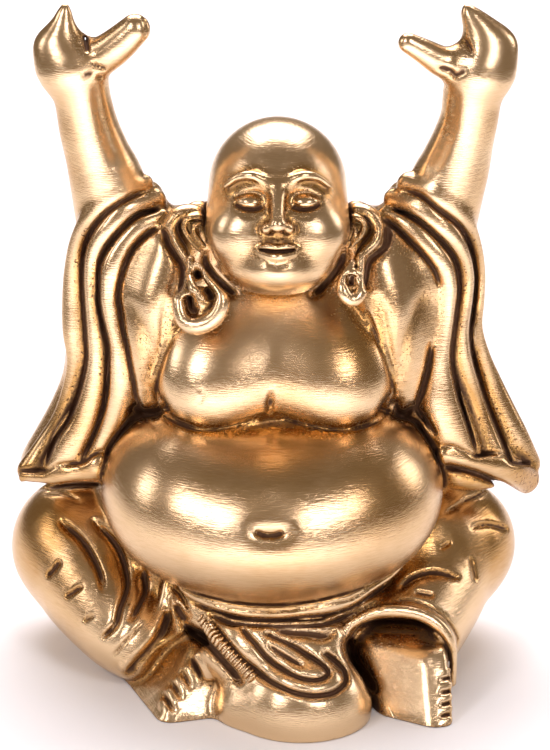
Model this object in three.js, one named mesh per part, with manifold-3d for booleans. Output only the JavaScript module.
// A seated laughing-pose figure with both arms raised, cast in one piece of brass.
// The form is built up like clay: rounded lumps and rolls are joined softly, hollows are cut, and folds are pressed in.
import * as THREE from "three";
import { MarchingCubes } from "three/addons/objects/MarchingCubes.js";
import { SimplifyModifier } from "three/addons/modifiers/SimplifyModifier.js";
import { mergeVertices } from "three/addons/utils/BufferGeometryUtils.js";
import Module from "manifold-3d";

// Driving dimensions.
const figureHeight = 230; // mm, from the underside to the fingertips
const facets = 9600; // triangles that the finished surface keeps

// Every place and radius below is a share of the height: 100 shares are the whole figure.
// +X is the viewer's right, +Y the figure's back and +Z up, and 0, 0, 0 is on the ground under the waist.
const gridLow = [-44, -46, -4]; // opposite corners of the cube of space that holds the figure
const gridHigh = [67, 65, 107];
const gridCell = 0.76; // spacing of the grid on which the form is worked out
const gridSide = Math.round((gridHigh[0] - gridLow[0]) / gridCell);
const emptySpace = 9; // distance given to cells that no lump reaches
const carvingTilt = THREE.MathUtils.degToRad(25); // folds are laid out as seen from this far above the horizon
const tiltY = Math.sin(carvingTilt);
const tiltZ = Math.cos(carvingTilt);
const lineStep = 6; // straight pieces for each stretch of a curved roll or fold

const brass = new THREE.MeshStandardMaterial({
  name: "brass",
  color: new THREE.Color(0.72, 0.53, 0.3),
  roughness: 0.3,
  metalness: 1,
});

// The grid of signed distances, below zero inside the figure.
const field = new Float32Array(gridSide ** 3).fill(emptySpace);

// Runs change(value, x, y, z) on every grid point from low to high.
function sweep(low, high, change) {
  const first = low.map((v, i) => Math.max(0, Math.ceil((v - gridLow[i]) / gridCell)));
  const last = high.map((v, i) => Math.min(gridSide - 1, Math.floor((v - gridLow[i]) / gridCell)));
  for (let k = first[2]; k <= last[2]; k++) {
    const z = gridLow[2] + k * gridCell;
    for (let j = first[1]; j <= last[1]; j++) {
      const y = gridLow[1] + j * gridCell;
      const row = (k * gridSide + j) * gridSide;
      for (let i = first[0]; i <= last[0]; i++) {
        field[row + i] = change(field[row + i], gridLow[0] + i * gridCell, y, z);
      }
    }
  }
}

// Sweeps the space round a form, where change(value, distance) gives the new value.
function shapeWith(form, reach, change) {
  const low = form.low.map((v) => v - reach);
  const high = form.high.map((v) => v + reach);
  sweep(low, high, (value, x, y, z) => change(value, form.distance(x, y, z)));
}

// Joins a form to the figure with a soft joint; blend is how far it is rounded.
function weld(form, blend) {
  shapeWith(form, blend + 3, (value, distance) => {
    const overlap = Math.max(blend - Math.abs(value - distance), 0) / blend;
    return Math.min(value, distance) - (overlap * overlap * blend) / 4;
  });
}

// Joins a form to the figure with a groove, of the depth and width given, where the two meet.
function lay(form, depth = 0.9, width = 0.9) {
  shapeWith(form, 4, (value, distance) => {
    const groove = Math.exp(-(((value - distance) / width) ** 2));
    return Math.min(value, distance) + depth * groove;
  });
}

// Cuts a form out of the figure; blend is how far the rim is rounded.
function cut(form, blend) {
  shapeWith(form, blend + 3, (value, distance) => {
    const overlap = Math.max(blend - Math.abs(value + distance), 0) / blend;
    return Math.max(value, -distance) + (overlap * overlap * blend) / 4;
  });
}

function turnOf(degrees) {
  const [x, y, z] = degrees.map(THREE.MathUtils.degToRad);
  return new THREE.Matrix4().makeRotationFromEuler(new THREE.Euler(x, y, z, "ZYX"));
}

// Gives a function that finds a point's place in a turned form's own axes.
function localAxes(centre, degrees) {
  const e = turnOf(degrees).elements;
  return (x, y, z) => {
    const [dx, dy, dz] = [x - centre[0], y - centre[1], z - centre[2]];
    return [0, 4, 8].map((c) => e[c] * dx + e[c + 1] * dy + e[c + 2] * dz);
  };
}

// How far a turned form reaches along each axis, from its half sizes.
function reachOf(half, degrees) {
  const e = turnOf(degrees).elements;
  return [0, 1, 2].map((r) => Math.hypot(e[r] * half[0], e[r + 4] * half[1], e[r + 8] * half[2]));
}

function ball(centre, radii, degrees = [0, 0, 0]) {
  const place = localAxes(centre, degrees);
  const reach = reachOf(radii, degrees);
  return {
    low: centre.map((v, i) => v - reach[i]),
    high: centre.map((v, i) => v + reach[i]),
    distance: (x, y, z) => {
      const p = place(x, y, z);
      const near = Math.hypot(p[0] / radii[0], p[1] / radii[1], p[2] / radii[2]);
      const slope = Math.hypot(p[0] / radii[0] ** 2, p[1] / radii[1] ** 2, p[2] / radii[2] ** 2);
      return (near * (near - 1)) / (slope + 1e-6);
    },
  };
}

function roundedBlock(centre, half, rounding, degrees) {
  const place = localAxes(centre, degrees);
  const reach = reachOf(half, degrees);
  return {
    low: centre.map((v, i) => v - reach[i]),
    high: centre.map((v, i) => v + reach[i]),
    distance: (x, y, z) => {
      const q = place(x, y, z).map((v, i) => Math.abs(v) - half[i] + rounding);
      const outside = Math.hypot(...q.map((v) => Math.max(v, 0)));
      return outside + Math.min(Math.max(...q), 0) - rounding;
    },
  };
}

// A smooth line through points of any size, each end kept.
function smoothLine(points, steps = lineStep) {
  const last = points.length - 1;
  const ends = [points[0].map((v, i) => 2 * v - points[1][i]), points[last].map((v, i) => 2 * v - points[last - 1][i])];
  const all = [ends[0], ...points, ends[1]];
  const line = [];
  for (let n = 1; n <= last; n++) {
    for (let step = 0; step < steps; step++) {
      const t = step / steps;
      const mix = (a, b, c, d) =>
        0.5 * (2 * b + (c - a) * t + (2 * a - 5 * b + 4 * c - d) * t ** 2 + (3 * b - a - 3 * c + d) * t ** 3);
      line.push(points[0].map((_, i) => mix(all[n - 1][i], all[n][i], all[n + 1][i], all[n + 2][i])));
    }
  }
  line.push(points[last]);
  return line;
}

// A roll along points [x, y, z, radius]; flatten stretches its section along each axis.
function roll(points, flatten = [1, 1, 1]) {
  const line = smoothLine(points).map((p) => [p[0] / flatten[0], p[1] / flatten[1], p[2] / flatten[2], p[3]]);
  const axes = [0, 1, 2];
  const least = Math.min(...flatten);
  return {
    low: axes.map((i) => Math.min(...line.map((p) => (p[i] - p[3]) * flatten[i]))),
    high: axes.map((i) => Math.max(...line.map((p) => (p[i] + p[3]) * flatten[i]))),
    distance: (x, y, z) => {
      const [px, py, pz] = [x / flatten[0], y / flatten[1], z / flatten[2]];
      let best = Infinity;
      for (let n = 1; n < line.length; n++) {
        const [a, b] = [line[n - 1], line[n]];
        const [ux, uy, uz] = [b[0] - a[0], b[1] - a[1], b[2] - a[2]];
        const [dx, dy, dz] = [px - a[0], py - a[1], pz - a[2]];
        const along = (dx * ux + dy * uy + dz * uz) / (ux * ux + uy * uy + uz * uz + 1e-9);
        const t = Math.min(Math.max(along, 0), 1);
        const away = Math.sqrt((dx - t * ux) ** 2 + (dy - t * uy) ** 2 + (dz - t * uz) ** 2);
        best = Math.min(best, away - a[3] - (b[3] - a[3]) * t);
      }
      return best * least;
    },
  };
}

// An upright body of oval sections [z, centre x, centre y, half width, half depth], with rounded ends.
function column(rings, rounding) {
  const line = smoothLine(rings);
  const bottom = line[0][0];
  const top = line.at(-1)[0];
  const sectionAt = (z) => {
    const n = Math.max(1, line.findIndex((p) => p[0] >= z));
    const [a, b] = [line[n - 1], line[n]];
    const t = Math.min(Math.max((z - a[0]) / (b[0] - a[0]), 0), 1);
    return a.map((v, i) => v + (b[i] - v) * t);
  };
  let section = line[0];
  let sectionZ = NaN;
  return {
    low: [Math.min(...line.map((p) => p[1] - p[3])), Math.min(...line.map((p) => p[2] - p[4])), bottom],
    high: [Math.max(...line.map((p) => p[1] + p[3])), Math.max(...line.map((p) => p[2] + p[4])), top],
    distance: (x, y, z) => {
      if (z !== sectionZ) {
        section = z > top ? line.at(-1) : sectionAt(z);
        sectionZ = z;
      }
      const [, cx, cy, rx, ry] = section;
      const near = Math.hypot((x - cx) / rx, (y - cy) / ry);
      const side = (near * (near - 1)) / (Math.hypot((x - cx) / rx ** 2, (y - cy) / ry ** 2) + 1e-6);
      const end = Math.abs(z - (bottom + top) / 2) - (top - bottom) / 2;
      const overlap = Math.max(rounding - Math.abs(side - end), 0) / rounding;
      return Math.max(side, end) + (overlap * overlap * rounding) / 4;
    },
  };
}

// Presses a fold into the surface that faces the line of sight, along points [x, height on the tilted plane].
// A fold fades out at its ends, and stops at the depth called back.
function pressFold(points, width, depth, back, fade = 0.25) {
  const line = smoothLine(points, 4);
  const reach = 3 * width;
  const front = gridLow[1];
  const xs = line.map((p) => p[0]);
  const ws = line.map((p) => p[1]);
  const low = [Math.min(...xs) - reach, front, (Math.min(...ws) - reach - tiltY * back) / tiltZ];
  const high = [Math.max(...xs) + reach, back, (Math.max(...ws) + reach - tiltY * front) / tiltZ];
  sweep(low, high, (value, x, y, z) => {
    const w = z * tiltZ + y * tiltY;
    let best = Infinity;
    let place = 0;
    for (let n = 1; n < line.length; n++) {
      const [a, b] = [line[n - 1], line[n]];
      const [ux, uw] = [b[0] - a[0], b[1] - a[1]];
      const t = Math.min(Math.max(((x - a[0]) * ux + (w - a[1]) * uw) / (ux * ux + uw * uw + 1e-9), 0), 1);
      const away = (x - a[0] - t * ux) ** 2 + (w - a[1] - t * uw) ** 2;
      if (away < best) {
        best = away;
        place = (n - 1 + t) / (line.length - 1);
      }
    }
    const end = Math.min(Math.min(place, 1 - place) / fade, 1);
    const hollow = Math.exp(-((Math.sqrt(best) / width) ** 1.5));
    return value + depth * end * (2 - end) * hollow;
  });
}

// Lines laid evenly between two guide lines, both included.
function between(first, last, count) {
  return Array.from({ length: count }, (_, n) => {
    const t = n / (count - 1);
    return first.map((p, i) => p.map((v, c) => v + (last[i][c] - v) * t));
  });
}

const sides = [-1, 1]; // the viewer's left and right

// Robe over the back, the shoulders and the panels beside the bare chest.
function robe() {
  const rings = [
    [-3, 0, 6, 27, 18],
    [6, 0, 6, 27.5, 18.5],
    [20, 0, 6, 26.5, 19],
    [34, 0, 6, 24, 18],
    [46, 0, 5.5, 22.5, 15.5],
    [56, 0, 5, 19, 12],
    [62, 0, 4, 14, 9.5],
    [66, 0, 3, 9, 6],
  ];
  weld(column(rings, 4), 1);
  for (const side of sides) {
    const shoulder = [
      [side * 9, 3, 59.5, 8],
      [side * 16, 2.5, 59, 7.8],
      [side * 21.5, 1.5, 60, 6.6],
    ];
    weld(roll(shoulder), 4);
    weld(ball([side * 15.6, -2.5, 50], [7.2, 9.4, 12.5], [0, side * 6, 0]), 2);
    weld(ball([side * 17.8, -1.5, 38], [6.2, 9.4, 9]), 2);
  }
}

// Wide sleeves that hang in rolls from the raised arms and end in a thick cut hem.
function sleeves() {
  const sleeveRings = [
    [23, 28.3, 3, 9, 8.6],
    [27, 28.2, 3, 8.9, 9],
    [32, 26.1, 3.2, 7.7, 9],
    [40, 23.3, 3.2, 6.8, 9],
    [50, 22.8, 3, 6.8, 8.6],
    [58, 22.8, 2.4, 6, 7.4],
    [64, 22.8, 1.6, 4.8, 6],
  ];
  // Guide lines of the front rolls: the outermost runs down the sleeve's edge, the innermost beside the chest.
  const outer = [
    [-18.3, 0.5, 71.4, 2],
    [-22.6, -1, 70.4, 2],
    [-26, -1, 67.3, 1.8],
    [-28.2, 0, 61.8, 1.7],
    [-28.3, 0.5, 52.7, 1.6],
    [-28.5, 0.5, 43.9, 1.8],
    [-30.4, 0, 37.3, 2.2],
    [-33.7, 0, 30.2, 2.6],
  ];
  const inner = [
    [-16, -4, 68.4, 1.8],
    [-19, -4.8, 67.4, 1.8],
    [-21.9, -5.2, 64.4, 1.8],
    [-23.3, -5, 59.2, 1.6],
    [-22.6, -4.6, 51.2, 1.7],
    [-21.9, -4.6, 45.2, 2],
    [-21.9, -5, 39.6, 2.4],
    [-25.2, -6, 34.4, 2.4],
  ];
  const rear = [
    [-18, 5.5, 66, 2],
    [-21, 8.5, 63, 2],
    [-23, 11.5, 58, 2],
    [-23.4, 12.4, 52, 2],
    [-23.2, 12.8, 46, 2],
    [-23.6, 13, 40, 2.2],
    [-24.8, 13, 34, 2.6],
    [-26.8, 12.6, 28.4, 2.8],
  ];
  const hem = [
    [-35.4, -2.5, 27.5, 1.7],
    [-31.6, -5.5, 28.4, 1.6],
    [-27.2, -7.6, 31, 1.7],
    [-24, -9, 33.2, 1.7],
  ];
  const frontRolls = 3;
  const rearRolls = 3;
  for (const side of sides) {
    const wider = side > 0 ? 1 : 0; // the sleeve on the viewer's right stands further out
    const placed = (points) => points.map(([x, ...rest]) => [-side * x + wider, ...rest]);
    weld(column(sleeveRings.map(([z, x, ...rest]) => [z, side * x, ...rest]), 2), 2);
    between(outer, rear, rearRolls + 1).slice(1).reverse().forEach((line) => lay(roll(placed(line), [1.3, 1.3, 1])));
    between(outer, inner, frontRolls).forEach((line) => lay(roll(placed(line), [1, 2, 1])));
    lay(roll(placed(hem), [1, 1.5, 1]), 0.6);
  }
}

// Bare chest and the great round belly, each set off by a crease.
function trunk() {
  const chest = [0.3, -5.5, 47.5];
  lay(ball(chest, [17, 11.5, 10.5]), 1);
  for (const side of sides) weld(ball([0.3 + side * 7.9, -8.2, 45.6], [9.4, 8.6, 7.8]), 2.5);
  lay(ball([0, -8, 27.5], [24, 18.5, 11.5]), 1.2);
  weld(ball([0, -10.5, 23.6], [21, 18, 12]), 4);
  cut(ball([0, -28.6, 24.2], [3.4, 1.4, 1.8], [20, 0, 0]), 0.8);
}

function arms() {
  const left = [
    [-21.5, 1.5, 61.1, 6],
    [-23.6, 1, 72.4, 5.4],
    [-25.6, 0.5, 79.8, 4.9],
    [-27.4, 0, 86.1, 4.3],
    [-28.4, -0.2, 90.8, 4.2],
  ];
  const right = [
    [22.5, 1.5, 61.1, 6],
    [25.4, 1, 72.4, 5.6],
    [28, 0.5, 80.9, 4.9],
    [29.2, 0, 86.6, 4.5],
    [30, -0.2, 90, 4.3],
  ];
  lay(roll(left), 0.6);
  lay(roll(right), 0.6);
  // Each open hand is a palm, the four fingers closed to one blade, and the thumb held out towards the head.
  const flat = [1, 0.8, 1];
  const leftHand = [
    [[-28.4, -0.2, 90.6, 4.2], [-29.4, -0.2, 94.1, 3.8]],
    [[-30, 0, 93.3, 3.4], [-29.6, 0.2, 96.6, 2.3], [-29.3, 0.4, 99.1, 0.9]],
    [[-27, -0.6, 91.9, 3], [-22.6, -1.6, 95, 2.3], [-19, -2.2, 97.7, 2]],
  ];
  const rightHand = [
    [[30, -0.2, 90, 4.2], [31, -0.2, 93.3, 3.6]],
    [[31, 0, 93.3, 3.4], [29.6, 0.2, 96.8, 2.3], [28, 0.4, 99.1, 0.9]],
    [[29, -0.6, 91.6, 3], [24, -1.6, 93, 2.3], [19.4, -2.2, 95.7, 1.4]],
  ];
  [...leftHand, ...rightHand].forEach((points) => weld(roll(points, flat), 1.3));
}

// Bald head thrown back between the arms, with long pierced ear lobes.
function head() {
  const centre = [0.8, -6, 72.2];
  const pitch = -28; // degrees that the face looks up
  const turned = turnOf([pitch, 0, 0]);
  const lump = (place, radii) => {
    const spot = new THREE.Vector3(...place).applyMatrix4(turned).toArray();
    return ball(spot.map((v, i) => v + centre[i]), radii, [pitch, 0, 0]);
  };
  weld(ball([0.8, 0, 62], [9, 8, 7]), 2);
  for (const side of sides) {
    const rim = [
      [10.2, -6, 71, 1.1],
      [13, -5.5, 70.5, 1.4],
      [15, -5.5, 68.3, 1.5],
      [14.2, -6.5, 65.7, 1.5],
      [12.2, -8.5, 63.8, 1.4],
      [12.4, -11.4, 60.6, 1.5],
      [11.6, -13, 58.9, 1.8],
    ];
    weld(ball([0.8 + side * 11.4, -3.6, 66.4], [3.8, 2.6, 5.2]), 1);
    lay(roll(rim.map(([x, ...rest]) => [0.8 + side * x, ...rest]), [1, 1.5, 1]), 0.5);
  }
  lay(lump([0, 1.2, 2.6], [9.9, 10.6, 9.8]), 0.8);
  weld(lump([0, -0.8, -3.4], [9.9, 8.6, 8.2]), 3);
  weld(lump([0, -1.6, -9.4], [7.8, 6.6, 3.6]), 2);
  weld(lump([0, -5.6, -8.6], [4.4, 3.6, 3]), 2);
  weld(lump([0, -8.6, -0.8], [1.9, 2.6, 2.2]), 1);
  for (const side of sides) weld(lump([side * 4.6, -4.8, -3], [5, 4.4, 4.8]), 2);
}

// Crossed legs in wide trousers: the knees point out and the shins come forward.
function legs() {
  const thighs = [
    [[-12, 4, 12, 12], [-21, 5, 13, 11], [-27.6, 6.5, 13, 9.7]],
    [[12, 4, 12, 12], [20, 4, 13.2, 10.6], [25.2, 6, 13.4, 8.8]],
  ];
  const shins = [
    [[-27.6, 6.5, 12.8, 9.7], [-24.2, -1.5, 10, 8.6], [-19.6, -10, 8, 7.2], [-16, -16, 7, 6.4]],
    [[25.2, 6, 13.4, 8.8], [23, -2, 10.6, 8.3], [20.2, -9, 7.8, 7.9], [18.4, -14, 6.2, 7.6]],
  ];
  thighs.forEach((points) => lay(roll(points), 0.6));
  shins.forEach((points) => weld(roll(points), 2));
}

// Sash across the lap, whose end falls over the front between the feet in folded strands.
function sash() {
  const base = [
    [-3, 0, -7, 18, 19],
    [3, 0, -7, 17.5, 18.5],
    [8, 0, -7, 17, 18],
    [12, 0, -6, 16, 17],
  ];
  weld(column(base, 3), 2);
  weld(ball([4.2, -22.8, 3.4], [10.2, 9.6, 7.6], [-20, 0, 0]), 1);
  weld(ball([-2, -22.5, 6], [9, 6.5, 6.5], [-30, 0, 0]), 1.5);
  // The folded end: long loops round one slit, each a strand wider than the last.
  const slitStart = [-0.6, -27.2, 13];
  const slitEnd = [5.2, -28.8, 9.8];
  const loopGap = 1.7;
  const strand = 0.95;
  for (let n = 3; n >= 1; n--) {
    const wide = n * loopGap;
    const shift = (p, across, along) => [
      p[0] + across * 0.56 + along * 0.83,
      p[1] + across * 0.36 - along * 0.22,
      p[2] + across * 0.74 - along * 0.5,
      strand,
    ];
    const loop = [
      shift(slitStart, wide, 0),
      shift(slitEnd, wide, 0),
      shift(slitEnd, 0, wide),
      shift(slitEnd, -wide, 0),
      shift(slitStart, -wide, -wide),
    ];
    lay(roll(loop), 0.5, 0.6);
  }
  const band = [
    [-15.5, -17.8, 17.6],
    [-10, -22.6, 16.5],
    [-4.5, -25.6, 16],
    [0.5, -26.2, 15.8],
    [7, -25.6, 16],
    [14, -22.2, 16.7],
    [20, -17.2, 17.9],
  ];
  const bandRadius = 1.4;
  lay(roll(band.map((p) => [...p, bandRadius]), [1, 1, 1.2]), 0.6);
}

// Bare feet on their outer edges, with the soles turned to each other, in rolled trouser ends.
function feet() {
  const leftEnd = [
    [-13.9, -17, 18.3, 1.2],
    [-15.4, -19.4, 14.3, 1.5],
    [-17.8, -18.6, 9.8, 1.5],
    [-21.2, -14, 2.8, 1.3],
  ];
  const rightEnd = [
    [9.8, -17, 4.6, 1],
    [11.2, -18, 9.8, 1],
    [15.8, -18.5, 13.6, 1],
    [20.8, -18.5, 14.4, 1],
    [24.6, -18, 11.4, 1],
    [26.2, -16.6, 6.2, 1],
    [26.6, -15, -0.1, 1],
  ];
  lay(roundedBlock([-11.6, -23, 5.6], [3.6, 7.5, 5.6], 3.2, [0, 8, -17]), 0.5);
  weld(ball([-7.6, -24.6, 2.8], [6, 6.5, 5.4]), 1.5);
  lay(roundedBlock([20.4, -20.4, 5], [3.8, 8.2, 5.4], 2.6, [0, -8, 32]), 0.8);
  lay(roll(leftEnd), 0.6);
  lay(roll(rightEnd), 0.6);
}

// Folds pressed in beside the chest, under the hems and over the knees.
function folds() {
  const grooves = [
    [[-12.3, 54.7], [-13, 49.3], [-16.6, 35.1]],
    [[12.6, 47.9], [16.3, 39.8], [18, 33.3]],
  ];
  grooves.forEach((line) => pressFold(line, 0.7, 1, 4));
  const hemLines = [
    [[-36.8, 21.9], [-31.4, 21.9], [-23.7, 24]],
    [[23.8, 25.5], [28, 24.6], [37, 21]],
  ];
  hemLines.forEach((line) => pressFold(line, 0.6, 1.4, 4, 0.1));
  const kneeFolds = [
    [[-30.7, 18], [-25.2, 11.8], [-24.4, 7.8]],
    [[-26.2, 18.1], [-21.2, 10.8], [-23.7, 1.1]],
    [[-18.7, 11.6], [-18.8, 7.4], [-21.5, 2.5]],
    [[18.1, 7.9], [23.5, 10.5], [27.3, 9.6]],
  ];
  kneeFolds.forEach((line) => pressFold(line, 0.7, 1.3, 9));
}

// Ends every lump a little below the ground, so that the surface is closed before it is cut off flat.
function closeBelow(depth) {
  sweep(gridLow, gridHigh, (value, x, y, z) => Math.max(value, -depth - z));
}

// Fills every pocket between the folds, and every slit too narrow to open into the outside.
function fillPockets() {
  const narrow = 0.8; // half the width of the narrowest way in
  const rim = 1; // cells that stay open beside a wider space
  const filled = 0.3; // depth of a filled cell below the surface
  const steps = [1, -1, gridSide, -gridSide, gridSide ** 2, -(gridSide ** 2)];
  const reached = new Uint8Array(field.length);
  const spread = (from, least) => {
    const added = [];
    for (const cell of from) {
      for (const step of steps) {
        const next = cell + step;
        if (reached[next] === 0 && field[next] > least) {
          reached[next] = 1;
          added.push(next);
        }
      }
    }
    return added;
  };
  reached[0] = 1;
  let open = [0];
  let edge = [0];
  while (edge.length) {
    edge = spread(edge, narrow);
    open = open.concat(edge);
  }
  for (let n = 0; n < rim; n++) open = spread(open, 0);
  for (let i = 0; i < field.length; i++) if (field[i] > 0 && !reached[i]) field[i] = -filled;
}

// Softens the whole form by averaging each grid point with its neighbours.
function soften(times) {
  for (let n = 0; n < times; n++) {
    for (const step of [1, gridSide, gridSide ** 2]) {
      const behind = new Float32Array(step).fill(emptySpace);
      for (let i = 0; i + step < field.length; i++) {
        const before = behind[i % step];
        behind[i % step] = field[i];
        field[i] = (before + 2 * field[i] + field[i + step]) / 4;
      }
    }
  }
}

robe();
sleeves();
trunk();
arms();
head();
legs();
sash();
feet();
folds();
closeBelow(1.6);
soften(1);
fillPockets();

// Takes the surface from the grid, in shares of the height.
function surfaceOfField() {
  const mostTriangles = 400000;
  const cubes = new MarchingCubes(gridSide, brass, false, false, mostTriangles);
  const leastDistance = 0.02; // keeps slivers away from the grid points
  cubes.isolation = 0;
  for (let i = 0; i < field.length; i++) {
    const value = Math.abs(field[i]) < leastDistance ? Math.sign(field[i] || 1) * leastDistance : field[i];
    cubes.field[i] = -value;
  }
  cubes.update();
  const used = cubes.geometry.drawRange.count;
  const places = cubes.positionArray.slice(0, used * 3);
  const half = gridSide / 2;
  for (let i = 0; i < places.length; i++) places[i] = gridLow[i % 3] + (places[i] + 1) * half * gridCell;
  return new THREE.BufferGeometry().setAttribute("position", new THREE.BufferAttribute(places, 3));
}

const wasm = await Module();
wasm.setup();

function solidOf(geometry) {
  return new wasm.Manifold(
    new wasm.Mesh({
      numProp: 3,
      vertProperties: geometry.attributes.position.array,
      triVerts: new Uint32Array(geometry.index.array),
    }),
  );
}

function geometryOf(solid) {
  const mesh = solid.getMesh();
  const geometry = new THREE.BufferGeometry();
  geometry.setAttribute("position", new THREE.BufferAttribute(new Float32Array(mesh.vertProperties), 3));
  geometry.setIndex(new THREE.BufferAttribute(new Uint32Array(mesh.triVerts), 1));
  return geometry;
}

// The rough surface, thinned to its facets and cut off flat at the underside.
async function castFigure() {
  const fine = mergeVertices(surfaceOfField(), 1e-4);
  fine.computeVertexNormals();
  const spare = fine.attributes.position.count * (1 - facets / (fine.index.count / 3));
  const thinned = await new SimplifyModifier().modify(fine, spare);
  const span = 2 * (gridHigh[0] - gridLow[0]);
  const ground = new THREE.BoxGeometry(span, span, span).translate(0, 0, -span / 2);
  ground.deleteAttribute("normal");
  ground.deleteAttribute("uv");
  const standing = solidOf(thinned).subtract(solidOf(mergeVertices(ground)));
  const skins = standing.decompose().sort((a, b) => b.volume() - a.volume());
  const geometry = geometryOf(skins[0]);
  geometry.computeBoundingBox();
  const middle = geometry.boundingBox.getCenter(new THREE.Vector3());
  const size = figureHeight / geometry.boundingBox.max.z;
  return geometry.translate(-middle.x, -middle.y, 0).scale(size, size, size).toNonIndexed();
}

const figure = new THREE.Mesh(await castFigure(), brass);
figure.name = "figure";
figure.geometry.computeVertexNormals();

const root = new THREE.Group();
root.add(figure);

export default root;
